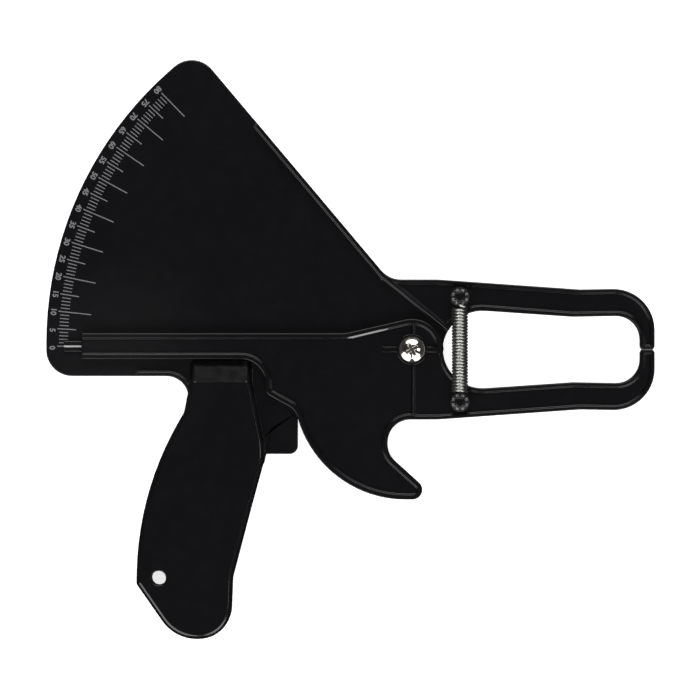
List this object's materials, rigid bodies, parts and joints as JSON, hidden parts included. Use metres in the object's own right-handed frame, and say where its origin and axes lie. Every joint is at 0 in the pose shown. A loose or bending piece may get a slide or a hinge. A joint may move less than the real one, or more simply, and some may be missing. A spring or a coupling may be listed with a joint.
{
  "type": "skinfold caliper",
  "caption": "Pistol-grip caliper with a printed fan scale, a pointer lever worked by a finger trigger, and two bowed jaws drawn shut by a coil spring.",
  "frame": {"origin": "centre of the footprint, on the flat back that it lies on", "axes": "+X from the scale towards the jaws, +Y from the grip's butt towards the top of the scale, +Z out of the front face"},
  "size_m": [0.2676, 0.2548, 0.0205],
  "materials": {
    "black_moulding": "polished black moulded styrene plastic with a faint moulding texture",
    "bushing": "natural acetal",
    "black_washer": "black nylon",
    "screw_plating": "bright nickel plate",
    "nut_plating": "zinc plate",
    "nut_insert": "white nylon",
    "spring_wire": "drawn and zinc plated spring wire",
    "black_steel": "black oxide on stamped spring steel"
  },
  "bodies": {
    "frame": {"frame": "black_moulding", "pivot_bushing": "bushing", "thrust_washer": "black_washer", "head_washer": "black_washer", "pivot_screw": "screw_plating", "pivot_nut": "nut_plating", "nut_insert": "nut_insert", "return_spring": "spring_wire", "upper_retainer": "black_steel"},
    "lever": {"lever": "black_moulding", "lower_retainer": "black_steel"}
  },
  "joints": [
    {"name": "jaw_pivot", "type": "hinge", "parent": "frame", "child": "lever", "pos_m": [0.02715, -0.0001, 0.011], "axis": [0, 0, -1], "range_deg": [0, 48], "stiffness_Nm_per_rad": 0.25, "springref_deg": -91.67, "deforming": ["return_spring"]}
  ]
}
